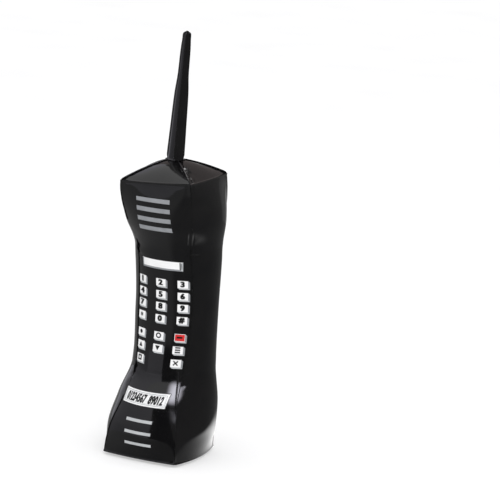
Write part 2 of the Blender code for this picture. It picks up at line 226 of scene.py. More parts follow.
def roof_grid(side):
    eave = body_edge(side, BODY_TOP, columns) * MM
    foot = antenna_foot_at(np.radians(SIDE_ANGLE[side] + 45 * columns)) * MM
    crown = HIP_CROWN + (GORE_CROWN - HIP_CROWN) * (1 - columns**2)
    rows = []
    for s in roof_rows:
        rise = (APEX_HEIGHT - EAVE_HEIGHT) * s * (1 + crown * (1 - s))
        rise = rise + head_sag(eave, BODY_TOP) * (1 - s)
        rows.append(np.column_stack([eave + (foot - eave) * s, EAVE_HEIGHT + rise]))
    return np.array(rows)


def base_grid():
    across = ((columns + 1) / 2)[None, :, None]
    along = ((columns + 1) / 2)[:, None, None]
    front = body_edge("front", 0, columns)[None, :, :]
    back = body_edge("back", 0, -columns)[None, :, :]
    left = body_edge("left", 0, -columns)[:, None, :]
    right = body_edge("right", 0, columns)[:, None, :]
    corners = ((front[:, :1] * (1 - across) + front[:, -1:] * across) * (1 - along)
               + (back[:, :1] * (1 - across) + back[:, -1:] * across) * along)
    flat = front * (1 - along) + back * along + left * (1 - across) + right * across - corners
    edge = np.maximum(np.abs(columns)[None, :], np.abs(columns)[:, None])
    curl = np.clip(edge - BASE_FLAT, 0, None) / (1 - BASE_FLAT)
    return np.dstack([flat * MM, BASE_SEAM * curl**2])


def antenna_grid(gore):
    rows = []
    for height in antenna_rows:
        flat = antenna_edge(gore, height, antenna_columns)
        level = APEX_HEIGHT + 2 * GAP + height * MM
        rows.append(np.column_stack([flat * MM, np.full(len(flat), level)]))
    return np.array(rows)


# ---------------- puckers
def bump(x, centre, width):
    return np.exp(-((x - centre) / width) ** 2)


def pucker(along, away, centre, pitch, spread, depth, reach, seed):
    """Folds that fan out from one spot on a seam.

    along and away are distances in millimetres, along the seam and away from it.
    """
    fan = (along - centre) / (1 + away / spread)
    wander = 0.8 * np.sin(fan / pitch * 1.7 + seed) + 0.5 * np.sin(fan / pitch * 0.6 + 2.3 * seed)
    folds = np.cos(2 * math.pi * fan / pitch + wander + seed)
    rise = 1 - np.exp(-away / SEAM_REST)
    patch = bump(along, centre, spread * (1 + away / (2 * spread)))
    return depth * folds * rise * np.exp(-away / reach) * patch


def crease(along, away, place, width, depth, near, far):
    """One straight crease at a place along a line, near to far millimetres away from it."""
    ends = 1 / (1 + np.exp(-(away - near) / 1.5)) / (1 + np.exp((away - far) / 2.5))
    return -depth * np.exp(-((along - place) / width) ** 2) * ends


# The relief's own sizes, in millimetres.
SEAM_REST = 2.5  # a pucker starts this far from its seam
# Where folds fan out from a corner seam: height, pitch, spread along it and reach away from it.
# Then how deep they are, for the seam after each side.
KINK_PUCKERS = ((146, 11, 17, 15), (UPPER_KINK, 12, 18, 16), (100, 15, 24, 14), (418, 14, 22, 14))
PUCKER_DEPTHS = {
    "front": (0.05, 0.30, 0.03, 0.20),
    "right": (0.8, 0.8, 0.5, 0.4),
    "back": (0.9, 0.9, 0.6, 0.5),
    "left": (0.7, 0.7, 0.35, 0.35),
}
# Folds where corner seams meet the eave and the base, and at both ends of the hip seams:
# centre, pitch, spread, depth and reach.
EAVE_PUCKER = (2, 9, 11, 0.7, 15)
BASE_PUCKER = (3, 10, 13, 0.35, 13)
HIP_FOOT_PUCKER = (6, 8, 12, 0.8, 9)
HIP_TOP_PUCKER = (60, 9, 14, 0.5, 6)
# Single creases across the front right seam: height, width, depth, and where they start and end
# away from the seam. Then those along it: distance, width, depth, and start and end height.
CROSS_CREASES = {
    "front": ((UPPER_KINK - 3, 1.6, 0.7, -4, 8), (LOWER_KINK - 6, 1.4, 0.5, 42, 68)),
    "right": ((UPPER_KINK - 3, 1.5, 1.1, -4, 19), (LOWER_KINK - 22, 3.0, 0.5, 2, 9)),
}
LONG_CREASES = {"front": ((4.5, 1.3, 0.7, 377, 404),), "right": ((3.5, 1.5, 0.6, 380, 400),)}
# The crease that leaves the front right seam on the foot, and how far from it it is.
FOOT_CREASE_HEIGHTS = (84, 158)
FOOT_CREASE_OFFSETS = (-0.5, 9.6)
FOOT_CREASE = (0, 0.8, 0.8, 84, 156)
# A ridge and a crease on the right roof gore, from the front right hip.
HIP_RIDGE = (10, 1.6, 1.3, 2, 12)
HIP_CREASE = (14, 2.4, 0.8, 2, 10)
ROOF_EDGES = (6, 5)  # the relief fades out this far from the eave and from the antenna
EAVE_ROLL = {"front": 1.7, "right": 0.5, "back": 1.2, "left": 0.5}  # swelling below the eave
EAVE_ROLL_START = 5
EAVE_ROLL_REACH = 28


def grid_lengths(grid):
    """For each point of a grid, how far along its row it is from each end, in millimetres."""
    steps = np.linalg.norm(np.diff(grid, axis=1), axis=2) / MM
    from_start = np.concatenate([np.zeros((grid.shape[0], 1)), np.cumsum(steps, axis=1)], axis=1)
    return from_start, from_start[:, -1:] - from_start


def grid_normals(grid, outward):
    """Unit normals of a grid's points, on the side that outward points to."""
    down = np.gradient(grid, axis=0)
    over = np.gradient(grid, axis=1)
    normals = unit(np.cross(over, down))
    middle = normals[normals.shape[0] // 2, normals.shape[1] // 2]
    return normals if middle @ np.asarray(outward, float) > 0 else -normals


def unit(vectors):
    return vectors / np.maximum(np.linalg.norm(vectors, axis=-1, keepdims=True), 1e-12)


def body_relief(side, grid):
    """How far the film of a body panel stands off its smooth shape, in millimetres."""
    start, end = grid_lengths(grid)
    height = np.broadcast_to(body_rows[:, None], start.shape)
    relief = np.zeros(start.shape)
    for seed, away, seam in ((1.0, start, SIDES[SIDES.index(side) - 1]), (2.6, end, side)):
        seed += SIDES.index(side) * 1.9
        for (kink, pitch, spread, reach), depth in zip(KINK_PUCKERS, PUCKER_DEPTHS[seam]):
            relief += pucker(height, away, kink, pitch, spread, depth, reach, seed)
            seed += 0.8
    from_eave = BODY_TOP - height
    for seed, across in ((0.4, start), (1.9, end)):
        seed += SIDES.index(side) * 1.3
        relief += pucker(across, from_eave, *EAVE_PUCKER, seed)
        relief += pucker(across, height, *BASE_PUCKER, seed + 0.7)
    swell = (1 - np.exp(-from_eave / EAVE_ROLL_START)) * np.exp(-from_eave / EAVE_ROLL_REACH)
    relief += EAVE_ROLL[side] * swell
    from_front_right = {"front": end, "right": start}.get(side)
    for shape in CROSS_CREASES.get(side, ()):
        relief += crease(height, from_front_right, *shape)
    for shape in LONG_CREASES.get(side, ()):
        relief += crease(from_front_right, height, *shape)
    if side == "front":
        line = np.interp(height, FOOT_CREASE_HEIGHTS, FOOT_CREASE_OFFSETS)
        relief += crease(end - line, height, *FOOT_CREASE)
    return relief


def roof_relief(side, grid):
    """The same for a roof gore."""
    start, end = grid_lengths(grid)
    down = np.cumsum(np.concatenate([np.zeros((1, grid.shape[1])),
                                     np.linalg.norm(np.diff(grid, axis=0), axis=2)]), axis=0) / MM
    relief = np.zeros(start.shape)
    for seed, away in ((0.7, start), (2.1, end)):
        seed += SIDES.index(side)
        relief += pucker(down, away, *HIP_FOOT_PUCKER, seed)
        relief += pucker(down, away, *HIP_TOP_PUCKER, seed + 1.1)
    if side == "right":
        relief -= crease(start, down, *HIP_RIDGE)
        relief += crease(start, down, *HIP_CREASE)
    near_eave, near_antenna = ROOF_EDGES
    edge = np.minimum(down / near_eave, 1) * np.minimum((down[-1:] - down) / near_antenna, 1)
    return relief * edge


# ---------------- seams
BODY_MIDDLE = np.array([0.0, 0.02, 0.25])
ANTENNA_MIDDLE = np.array([ANTENNA_LEAN / 2, 0.0, APEX_HEIGHT + 0.1])
# An edge of a grid: its own row or column, and the next one in.
EDGES = {"bottom": lambda g: (g[0], g[1]), "top": lambda g: (g[-1], g[-2]),
         "start": lambda g: (g[:, 0], g[:, 1]), "end": lambda g: (g[:, -1], g[:, -2])}


def outward_normals(edge, inner, centre):
    """Unit normals of a panel along one of its edges, pointing away from centre."""
    normals = unit(np.cross(unit(inner - edge), np.gradient(edge, axis=0)))
    away = np.sum(normals * (edge - centre), axis=1, keepdims=True)
    return normals * np.where(away < 0, -1.0, 1.0)


def weld(panels, fins, first, second, width, centre):
    """Turns both films of a seam outwards. width is a number, or a rule of the seam's points."""
    ends = []
    for name, side in (first, second):
        edge, inner = EDGES[side](panels[name])
        ends.append([name, side, edge, inner, False])
    corner = ends[0][2][0]
    to_first, to_last = (np.linalg.norm(corner - ends[1][2][k]) for k in (0, -1))
    if to_first > to_last:
        ends[1][2:] = [ends[1][2][::-1], ends[1][3][::-1], True]
    normals = [outward_normals(edge, inner, centre) for _, _, edge, inner, _ in ends]
    outward = unit(normals[0] + normals[1])
    reach = outward * (width(ends[0][2]) if callable(width) else width)
    for name, side, edge, inner, flipped in ends:
        aside = unit(np.cross(np.gradient(edge, axis=0), outward))
        aside *= np.sign(np.sum(aside * (inner - edge), axis=1, keepdims=True))
        fins[name][side] = (reach[::-1], aside[::-1]) if flipped else (reach, aside)


def corner_fin(points):
    """A fin's width: wider where the handle meets the foot and the head.

    The front right one lies folded down on the film where the foot begins.
    """
    height = (points[:, 2] - BASE_SEAM) / MM
    wider = bump(height, LOWER_KINK - 4, KINK_REACH) + bump(height, UPPER_KINK - 2, KINK_REACH)
    width = FIN + KINK_FIN * wider
    front_right = (points[:, 0] > 0) & (points[:, 1] < 0)
    folded = front_right * bump(height, FOLDED_HEIGHT, FOLDED_REACH)
    return (width * (1 - FOLDED_SHARE * folded))[:, None]


def antenna_fin(points):
    """A fin's width: narrow up the spike, and wider in the tabs at its tip."""
    height = (points[:, 2] - APEX_HEIGHT) / MM
    return (ANTENNA_FIN + TIP_TAB * bump(height, ANTENNA_TOP - 4, KINK_REACH))[:, None]


ANTENNA_GORES = ("antenna_front_right_gore", "antenna_back_right_gore",
                 "antenna_back_left_gore", "antenna_front_left_gore")


def build_seams(panels):
    """The welded seams: body corners, eaves, hips, base and antenna."""
    fins = {name: {} for name in panels}
    base_edges = {"front": "bottom", "right": "end", "back": "top", "left": "start"}
    for i, side in enumerate(SIDES):
        after = SIDES[(i + 1) % 4]
        panel, gore = f"{side}_panel", f"top_{side}_gore"
        for first, second, width in (
                ((panel, "end"), (f"{after}_panel", "start"), corner_fin),
                ((panel, "top"), (gore, "bottom"), FIN),
                ((gore, "end"), (f"top_{after}_gore", "start"), HIP_FIN),
                ((panel, "bottom"), ("base_panel", base_edges[side]), FIN)):
            weld(panels, fins, first, second, width, BODY_MIDDLE)
    for gore, name in enumerate(ANTENNA_GORES):
        after = ANTENNA_GORES[(gore + 1) % 4]
        weld(panels, fins, (name, "end"), (after, "start"), antenna_fin, ANTENNA_MIDDLE)
        foot = panels[name][0]
        spread = unit((foot - [0, 0, APEX_HEIGHT + 2 * GAP]) * [1, 1, 0])
        fins[name]["bottom"] = (spread * FOOT_FIN, np.zeros_like(foot))
    return fins


# ---------------- objects
collection = bpy.context.scene.collection


def new_object(name, data):
    made = bpy.data.objects.new(name, data)
    collection.objects.link(made)
    return made


def mesh_object(name, vertices, faces, surface, body=BODY):
    mesh = bpy.data.meshes.new(name)
    mesh.from_pydata([Vector(v) for v in vertices], [], faces)
    mesh.materials.append(surface)
    mesh.shade_smooth()
    made = new_object(name, mesh)
    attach(made, body)
    return made


def film_object(name, grid, edge_fins, outward, surface):
    """One sheet of film: the panel, moved in from its seams, with a fin along each welded edge."""
    rows, count = grid.shape[:2]
    points = grid.copy()
    index = np.arange(rows * count).reshape(rows, count)
    edge_index = {"bottom": index[0], "top": index[-1], "start": index[:, 0], "end": index[:, -1]}
    flat = points.reshape(-1, 3)
    for side, (_, aside) in edge_fins.items():
        flat[edge_index[side]] += aside * SEAM_INSET
    vertices = list(flat)
    faces = [(index[r, c], index[r, c + 1], index[r + 1, c + 1], index[r + 1, c])
             for r in range(rows - 1) for c in range(count - 1)]
    for side, (reach, _) in edge_fins.items():
        along = list(edge_index[side])
        last = len(along) - 1
        tips = [None] * (last + 1)
        for i in range(1, last):
            tips[i] = len(vertices)
            taper = min(1.0, i / last * FIN_TAPER, (last - i) / last * FIN_TAPER)
            vertices.append(vertices[along[i]] + reach[i] * taper)
        faces.append((along[0], along[1], tips[1]))
        faces += [(along[i], along[i + 1], tips[i + 1], tips[i]) for i in range(1, last - 1)]
        faces.append((along[-2], along[-1], tips[last - 1]))
    faces = [tuple(int(v) for v in face) for face in faces]
    made = mesh_object(f"{name}_film", vertices, faces, surface)
    shape = bmesh.new()
    shape.from_mesh(made.data)
    bmesh.ops.recalc_face_normals(shape, faces=shape.faces)
    shape.faces.ensure_lookup_table()
    middle = shape.faces[(rows - 1) // 2 * (count - 1) + (count - 1) // 2]
    if middle.normal.dot(Vector(outward)) < 0:
        bmesh.ops.reverse_faces(shape, faces=shape.faces)
    shape.to_mesh(made.data)
    shape.free()
    made.data.shade_smooth()
    skin = made.modifiers.new("film", "SOLIDIFY")
    skin.thickness = FILM
    skin.offset = -1
    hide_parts(name)
    return made


def bead(name, points, radius, surface, closed=False, flat=1.0):
    """The rolled edge of a weld: a thin bead, round or flattened, along a line of points."""
    points = np.asarray(points)
    along = unit(np.gradient(points, axis=0))
    if closed:
        along = unit(np.roll(points, -1, axis=0) - np.roll(points, 1, axis=0))
    across = unit(np.cross(along, np.array([0.13, 0.21, 0.97])))
    rise = unit(np.cross(across, along))
    angles = np.linspace(0, 2 * math.pi, BEAD_SIDES + 1)[:-1]
    count = len(points)
    thick = np.full(count, radius)
    if not closed:
        thick[0] = thick[-1] = radius * BEAD_END
    section = (flat * np.cos(angles)[None, :, None] * across[:, None]
               + np.sin(angles)[None, :, None] * rise[:, None])
    rings = points[:, None] + thick[:, None, None] * section
    steps = count if closed else count - 1
    index = np.arange(count * BEAD_SIDES).reshape(count, BEAD_SIDES).tolist()
    faces = [(near[k], near[(k + 1) % BEAD_SIDES], far[(k + 1) % BEAD_SIDES], far[k])
             for near, far in ((index[r], index[(r + 1) % count]) for r in range(steps))
             for k in range(BEAD_SIDES)]
    if not closed:
        faces += [tuple(index[0][::-1]), tuple(index[-1])]
    return mesh_object(name, rings.reshape(-1, 3), faces, surface)


def build_beads(panels, fins, surface):
    """Rolled weld edges on the four hips of the head and round the antenna's foot."""
    for i, side in enumerate(SIDES):
        after = SIDES[(i + 1) % 4]
        reach, _ = fins[f"top_{side}_gore"]["end"]
        line = panels[f"top_{side}_gore"][:, -1] + reach * HIP_BEAD_PLACE
        bead(f"hip_bead_{side}_{after}", line[1:-1], HIP_BEAD, surface, flat=HIP_BEAD_FLATNESS)
    ring = []
    for name in ANTENNA_GORES:
        reach, _ = fins[name]["bottom"]
        ring.append((panels[name][0] + reach)[:-1])
    ring = np.concatenate(ring)
    bead("antenna_foot_bead", ring, FOOT_BEAD, surface, closed=True)


# ---------------- materials
def set_inputs(node, values):
    for name, value in values.items():
        node.inputs[name].default_value = value


def new_material(name, colour, roughness):
    made = bpy.data.materials.new(name)
    made.use_nodes = True
    tree = made.node_tree
    shader = tree.nodes["Principled BSDF"]
    set_inputs(shader, {"Base Color": (*colour, 1), "Roughness": roughness})
    return made, tree, shader


def noise_node(tree, scale, detail, distortion=0.0):
    node = tree.nodes.new("ShaderNodeTexNoise")
    set_inputs(node, {"Scale": scale, "Detail": detail, "Distortion": distortion})
    place = tree.nodes.new("ShaderNodeTexCoord")
    tree.links.new(place.outputs["Object"], node.inputs["Vector"])
    return node.outputs["Fac"]


def ramp_node(tree, source, target, low, high, dark, light):
    """A colour ramp between two greys or colours over a range of the source."""
    node = tree.nodes.new("ShaderNodeValToRGB")
    for element, position, colour in zip(node.color_ramp.elements, (low, high), (dark, light)):
        element.position = position
        element.color = (*colour, 1)
    tree.links.new(source, node.inputs["Fac"])
    tree.links.new(node.outputs["Color"], target)


def bump_node(tree, source, strength, distance, below=None):
    node = tree.nodes.new("ShaderNodeBump")
    set_inputs(node, {"Strength": strength, "Distance": distance})
    tree.links.new(source, node.inputs["Height"])
    if below:
        tree.links.new(below, node.inputs["Normal"])
    return node.outputs["Normal"]


def film_material():
    """Glossy black PVC film: a soft mirror with a faint wave, fine orange peel and smudges."""
    made, tree, shader = new_material("black_pvc", (0.004, 0.004, 0.0045), 0.08)
    set_inputs(shader, {"IOR": 1.5})
    smudges = noise_node(tree, 22, 4, 0.6)
    ramp_node(tree, smudges, shader.inputs["Roughness"], 0.35, 0.75, (0.06,) * 3, (0.12,) * 3)
    ramp_node(tree, smudges, shader.inputs["Base Color"], 0.3, 0.8,
              (0.0035, 0.0035, 0.004), (0.006, 0.0058, 0.006))
    wave = bump_node(tree, noise_node(tree, 16, 2, 0.4), 0.35, 0.0012)
    peel = bump_node(tree, noise_node(tree, 420, 2), 0.10, 0.0001, wave)
    tree.links.new(peel, shader.inputs["Normal"])
    return made


def ink_material(name, dark, light, roughness=0.38):
    """A screen-printed ink: slightly uneven cover, a soft gloss and a fine tooth."""
    made, tree, shader = new_material(name, light, roughness)
    cover = noise_node(tree, 60, 5, 0.3)
    ramp_node(tree, cover, shader.inputs["Base Color"], 0.25, 0.6, dark, light)
    tooth = bump_node(tree, noise_node(tree, 900, 2), 0.12, 0.00005)
    tree.links.new(tooth, shader.inputs["Normal"])
    return made


def valve_material():
    made, tree, shader = new_material("valve_vinyl", (0.6, 0.61, 0.62), 0.3)
    set_inputs(shader, {"Subsurface Weight": 0.2, "Subsurface Scale": 0.003})
    ramp_node(tree, noise_node(tree, 120, 3), shader.inputs["Base Color"], 0.3, 0.7,
              (0.50, 0.51, 0.52), (0.66, 0.67, 0.68))
    grain = bump_node(tree, noise_node(tree, 700, 2), 0.15, 0.0001)
    tree.links.new(grain, shader.inputs["Normal"])
    return made


# ---------------- body
def build_body(black):
    panels = {f"{side}_panel": body_grid(side) for side in SIDES}
    panels.update({f"top_{side}_gore": roof_grid(side) for side in SIDES})
    panels["base_panel"] = base_grid()
    panels.update({name: antenna_grid(gore) for gore, name in enumerate(ANTENNA_GORES)})
    outward = {"base_panel": (0, 0, -1)}
    for side, angle in SIDE_ANGLE.items():
        outward[f"{side}_panel"] = Matrix.Rotation(math.radians(angle), 3, "Z") @ Vector((1, 0, 0))
        outward[f"top_{side}_gore"] = (0, 0, 1)
    for gore, name in enumerate(ANTENNA_GORES):
        angle = ANTENNA_TWIST + math.radians(90 * gore - 45)
        outward[name] = Matrix.Rotation(angle, 3, "Z") @ Vector((1, 0, 0))
    for side in SIDES:
        for name, relief in ((f"{side}_panel", body_relief), (f"top_{side}_gore", roof_relief)):
            smooth = panels[name]
            lift = relief(side, smooth) * MM
            panels[name] = smooth + grid_normals(smooth, outward[name]) * lift[:, :, None]
    fins = build_seams(panels)
    for name, grid in panels.items():
        film_object(name, grid, fins[name], outward[name], black)
    build_beads(panels, fins, black)
    return panels, outward


# ---------------- printing
def panel_half_length(height):
    """Half the length of the front film's arc at a height."""
    half = float(half_width(height))
    bulge = float(front_bulge(height))
    radius = (half**2 + bulge**2) / (2 * bulge)
    return radius * math.asin(min(half / radius, 1.0))


class FrontSurface:
    """Maps the print's own plane, in millimetres, on to the front film.

    x runs to the right from the middle of the panel along the film, and z is the height
    above the floor.
    """

    def __init__(self, grid, outward):
        self.grid = grid
        self.normals = grid_normals(grid, outward)

    def place(self, x, z, lift):
        height = z - BASE_SEAM / MM
        t = x / panel_half_length(height)
        row = float(np.interp(height, body_rows, np.arange(len(body_rows))))
        row = min(row, len(body_rows) - 1.001)
        column = float(np.interp(t, columns, np.arange(COLUMN_COUNT)))
        column = min(max(column, 0), COLUMN_COUNT - 1.001)
        r, c = int(row), int(column)
        fr, fc = row - r, column - c
        weights = ((1 - fr) * (1 - fc), (1 - fr) * fc, fr * (1 - fc), fr * fc)
        spots = ((r, c), (r, c + 1), (r + 1, c), (r + 1, c + 1))
        point = sum(w * self.grid[s] for w, s in zip(weights, spots))
        normal = unit(sum(w * self.normals[s] for w, s in zip(weights, spots)))
        return point + normal * lift * MM


def draw(layer, points):
    """Adds a polygon to the drawing of one layer of ink."""
    shape = drawings[layer]
    shape.faces.new([shape.verts.new((x, z, 0)) for x, z in points])


def draw_glyph(text, centre, height, bolder, narrow, slant=0.0):
    """A digit or sign, as flat faces, centred on a point of the print's plane.

    It is drawn three times, side by side, to make its strokes bolder.
    """
    curve = bpy.data.curves.new("glyph", "FONT")
    curve.body = text
    curve.offset = GLYPH_OFFSET
    curve.resolution_u = 6
    holder = new_object("glyph", curve)
    bpy.context.view_layer.update()
    evaluated = holder.evaluated_get(bpy.context.evaluated_depsgraph_get())
    mesh = bpy.data.meshes.new_from_object(evaluated)
    points = np.array([v.co[:2] for v in mesh.vertices])
    low, high = points.min(axis=0), points.max(axis=0)
    scale = height / (high[1] - low[1])
    placed = (points - (low + high) / 2) * scale
    placed[:, 0] = placed[:, 0] * narrow + placed[:, 1] * slant
    placed += np.array(centre)
    shape = drawings["glyphs"]
    for shift in (-bolder, 0, bolder):
        made = [shape.verts.new((x + shift, z, 0)) for x, z in placed]
        for face in mesh.polygons:
            shape.faces.new([made[v] for v in face.vertices])
    bpy.data.objects.remove(holder, do_unlink=True)
    bpy.data.curves.remove(curve)
    bpy.data.meshes.remove(mesh)


def print_object(name, shape, front, lift, ink):
    """Lays a flat drawing on the front film as a thin layer of ink.

    It is first cut into cells, so that it can follow the film.
    """
    bmesh.ops.remove_doubles(shape, verts=shape.verts, dist=0.001)
    points = np.array([v.co[:2] for v in shape.verts])
    for axis in (0, 1):
        first = math.floor(points[:, axis].min() / INK_CELL)
        last = math.ceil(points[:, axis].max() / INK_CELL)
        direction = Vector((1, 0, 0)) if axis == 0 else Vector((0, 1, 0))
        for k in range(first, last + 1):
            geometry = shape.verts[:] + shape.edges[:] + shape.faces[:]
            place = direction * (k * INK_CELL + INK_CELL_SHIFT)
            bmesh.ops.bisect_plane(shape, geom=geometry, plane_co=place,
                                   plane_no=direction, dist=0.0001)
    bmesh.ops.triangulate(shape, faces=shape.faces)
    for vertex in shape.verts:
        vertex.co = Vector(front.place(vertex.co.x, vertex.co.y, lift))
    bmesh.ops.recalc_face_normals(shape, faces=shape.faces)
    shape.normal_update()
    for face in shape.faces:
        if face.normal.y > 0:
            face.normal_flip()
    mesh = bpy.data.meshes.new(name)
    shape.to_mesh(mesh)
    shape.free()
    mesh.materials.append(ink)
    made = new_object(name, mesh)
    layer = made.modifiers.new("ink", "SOLIDIFY")
    layer.thickness = INK_THICKNESS
    layer.offset = 1
    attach(made, BODY)
    return made


def block(left, right, low, high):
    return [(left, low), (right, low), (right, high), (left, high)]


# The print's sizes, in millimetres on the print's plane.
INK_THICKNESS = 0.05 * MM
INK_CELL = 3.0
INK_CELL_SHIFT = 0.013  # keeps the cuts off the drawing's own edges
# Each layer's height over the film and its ink.
INK_LAYERS = {"outlines": (0.05, "black"), "white": (0.12, "white"), "pale_grey": (0.12, "pale"),
              "grey": (0.12, "grey"), "red": (0.19, "red"), "border_lines": (0.19, "pale"),
              "glyphs": (0.26, "black")}
drawings = {name: bmesh.new() for name in INK_LAYERS}
OUTLINE = 1.3
EARPIECE_BARS = (468.5, 451, 433, 416)  # heights of the middles
EARPIECE_HALF = 33.5
EARPIECE_SHORT = 2  # how much shorter the bars are on the right
EARPIECE_THICK = 8.0
DISPLAY = (-41.5, 41.5, 339, 355.5)  # left, right, bottom and top
DISPLAY_FRAME = (3.4, 6.5, 3, 0.6)  # widths of its drawn sides, in the same order
DISPLAY_CORNERS = (1.5, 0.8)  # how far its bottom corners are drawn in
DISPLAY_MARKS = ((6.5, 4.7, 2.2, 0.9), (3.3, 2.2, 3.4, 2.4))  # two dark lines at its right
KEY_WIDTH = 22.0
KEY_HEIGHT = 16.0
KEY_SIDE = 3.4  # width of a key's drawn side, and height of the one below it
KEY_DROP = 2.6
KEY_BEVELS = (0.5, 1, 0.6)  # how far its outline's corners move: left, bottom, right
KEY_RED = (0.8, 0.5)  # how far the red stays inside its key's face, and at the right
KEY_ROWS = (313.5, 291.5, 270, 247.5, 216.5, 194, 170.5)
KEY_COLUMN = 0.735  # of the panel's half width, along the film
KEY_MIDDLE_SHIFT = 1.0  # how far right of the middle the middle keys are
SIGN_SHIFT = (-0.4, 0.3)
DIGIT_HEIGHT = 10.6
DIGIT_STROKE = (0.62, 1.08)  # how much bolder and wider the digits are drawn
DIGIT_STROKE_LEFT = (0.85, 1.3)  # and those of the left column
LABEL = (-52.0, 40.5, 97.5, 120.5)
LABEL_SKEW = 3.0  # how far its bottom right corner is drawn in
LABEL_BORDERS = ((2.0, 1.1), (4.2, 0.5))  # inset and thickness of its two border lines
LABEL_DIGITS = "01234567 89012"
LABEL_START = 11.5
LABEL_PITCH = 5.35
LABEL_HEIGHT = 14.0
LABEL_STROKE = (0.3, 0.54, 0.16)  # bolder, wider, slant
MOUTH_BARS = ((-4.0, 73), (-2.5, 53), (0.0, 33))  # middles
MOUTH_HALF = 26.0
MOUTH_THICK = 5.0
GLYPH_OFFSET = 0.042  # how far a glyph's outline is moved out, in glyph heights
KEYS = (("1", "2", "3"), ("4", "5", "6"), ("7", "8", "9"), ("*", "0", "#"),
        ("dot", "ring", "bar"), ("up", "down", "lines"), ("square", None, "cross"))


def around(radii, angles):
    return [(r * math.cos(a), r * math.sin(a)) for r, a in zip(radii, angles)]


# Plain signs for the keys that aren't digits: polygons about the middle of the key.
ROUND = np.linspace(0, 2 * math.pi, 17)
STAR = np.linspace(0, 2 * math.pi, 13)[:-1] + math.pi / 6
SIGNS = {
    "dot": [around((3.6,) * 16, ROUND)],
    "*": [around((5.2, 2.2) * 6, STAR)],
    "ring": [around((5.2, 5.2, 2.8, 2.8), (a, b, b, a)) for a, b in zip(ROUND, ROUND[1:])],
    "bar": [block(-5, 5, -1.6, 1.6)],
    "up": [[(-4.6, -4.2), (4.6, -4.2), (0, 4.6)]],
    "down": [[(-4.6, 4.2), (0, -4.6), (4.6, 4.2)]],
    "lines": [block(-4.6, 4.6, d - 1.25, d + 1.25) for d in (-4.1, 0, 4.1)],
    "square": [block(-5, 5, 2.2, 4.8), block(-5, 5, -4.8, -2.2),
               block(-5, -2.2, -2.2, 2.2), block(2.2, 5, -2.2, 2.2)],
    "cross": [[(3.2, -4.6), (4.8, -3.2), (-3.2, 4.6), (-4.8, 3.2)],
              [(-4.8, -3.2), (-3.2, -4.6), (-0.1, -1.1), (-1.6, 0.4)],
              [(1.6, -0.4), (4.8, 3.2), (3.2, 4.6), (0.1, 1.1)]],
}


def wider_block(left, right, low, high):
    """The black outline of a bar."""
    return block(left - OUTLINE, right + OUTLINE, low - OUTLINE, high + OUTLINE)


def print_bar(fill, left, right, middle, thick):
    low, high = middle - thick / 2, middle + thick / 2
    draw("outlines", wider_block(left, right, low, high))
    draw(fill, block(left, right, low, high))


def print_display():
    left, right, low, high = DISPLAY
    inner_left, inner_right = left + DISPLAY_FRAME[0], right - DISPLAY_FRAME[1]
    sill, head = low + DISPLAY_FRAME[2], high - DISPLAY_FRAME[3]
    foot_left, foot_right = left + DISPLAY_CORNERS[0], right - DISPLAY_CORNERS[1]
    draw("outlines", wider_block(*DISPLAY))
    draw("white", block(inner_left, inner_right, sill, head))
    draw("white", block(left, right, head, high))
    draw("grey", [
        (inner_left, sill), (foot_left, low), (foot_right, low), (inner_right, sill)])
    draw("grey", [
        (left, head), (foot_left, low), (inner_left, sill), (inner_left, head)])
    draw("pale_grey", [
        (inner_right, sill), (foot_right, low), (right, head), (inner_right, head)])
    for outer, inner, up, down in DISPLAY_MARKS:
        draw("glyphs", block(right - outer, right - inner, low + up, high - down))


def print_key(side, sign, x, z):
    """One key with its drawn right side and underside. side is -1, 0 or 1 for its column."""
    l, r = x - KEY_WIDTH / 2, x + KEY_WIDTH / 2
    b, t = z - KEY_HEIGHT / 2, z + KEY_HEIGHT / 2
    left, bottom, right = KEY_BEVELS
    draw("outlines", [
        (l - OUTLINE, t + OUTLINE), (l - OUTLINE, b + KEY_DROP - left),
        (l + KEY_SIDE - bottom, b - OUTLINE), (r + OUTLINE, b - OUTLINE),
        (r + OUTLINE, t - KEY_DROP + right), (r - KEY_SIDE + right, t + OUTLINE)])
    draw("grey", [
        (r - KEY_SIDE, b + KEY_DROP), (r, b), (r, t - KEY_DROP), (r - KEY_SIDE, t)])
    draw("pale_grey", [
        (l, b + KEY_DROP), (l + KEY_SIDE, b), (r, b), (r - KEY_SIDE, b + KEY_DROP)])
    draw("white", block(l, r - KEY_SIDE, b + KEY_DROP, t))
    if sign == "bar":
        inset, inset_right = KEY_RED
        draw("red", block(l + inset, r - KEY_SIDE - inset_right,
                                         b + KEY_DROP + inset, t - inset))
    middle = ((l + r - KEY_SIDE) / 2 + SIGN_SHIFT[0], (b + KEY_DROP + t) / 2 + SIGN_SHIFT[1])
    if sign in "0123456789#":
        bolder, narrow = DIGIT_STROKE_LEFT if side < 0 else DIGIT_STROKE
        draw_glyph(sign, middle, DIGIT_HEIGHT, bolder, narrow)
    else:
        for shape in SIGNS[sign]:
            draw("glyphs", [(middle[0] + u, middle[1] + v) for u, v in shape])


